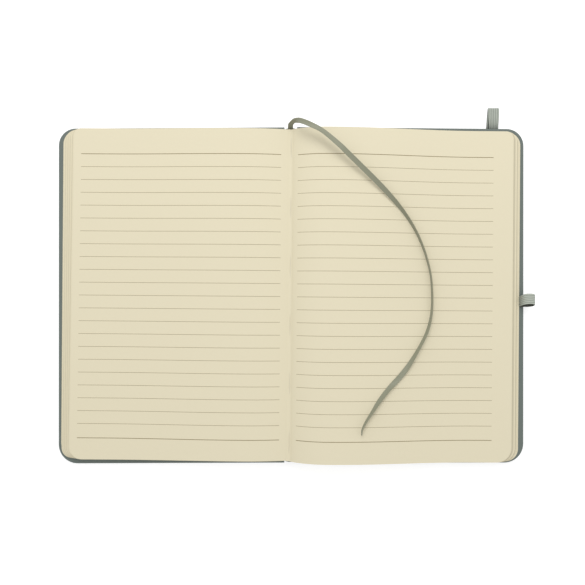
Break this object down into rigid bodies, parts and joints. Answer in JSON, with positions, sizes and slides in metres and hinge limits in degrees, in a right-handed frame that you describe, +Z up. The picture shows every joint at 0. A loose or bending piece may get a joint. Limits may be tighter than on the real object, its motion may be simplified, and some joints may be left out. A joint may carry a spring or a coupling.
{
  "type": "hardcover notebook",
  "caption": "Open hardcover ruled notebook with round corners, fanned cream pages, a ribbon marker, an elastic closure and a pen loop; it closes at its spine.",
  "frame": {"origin": "bottom centre of the open notebook without its ribbon: the middle of its box in x and y, on the surface that it lies on", "axes": "+X from the front cover towards the back cover, across the open spread; +Y from the tail towards the head; +Z up"},
  "size_m": [0.2974, 0.2234, 0.0252],
  "materials": {
    "cover_skin": "matt grey-green imitation leather with a fine grain",
    "board": "plain grey board",
    "paper": "matt cream paper, ruled on the open pages",
    "lining": "matt gauze and paper",
    "thread": "waxed off-white thread",
    "elastic": "pale grey-green woven elastic, ribbed along its length",
    "ribbon": "grey-green satin ribbon"
  },
  "bodies": {
    "back_half": {"back_board": "board", "back_cover_skin": "cover_skin", "back_endpaper": "paper", "back_pages": "paper", "spine_lining": "lining", "sewing_thread": "thread", "elastic_band": "elastic", "pen_loop": "elastic", "ribbon_marker": "ribbon"},
    "front_half": {"front_board": "board", "front_cover_skin": "cover_skin", "front_endpaper": "paper", "front_pages": "paper"}
  },
  "joints": [
    {"name": "closing", "type": "hinge", "parent": "back_half", "child": "front_half", "pos_m": [-0.00295, 0, 0.00785], "axis": [0, 1, 0], "range_deg": [0, 180], "deforming": ["front_pages", "back_pages", "spine_lining", "ribbon_marker"]}
  ]
}
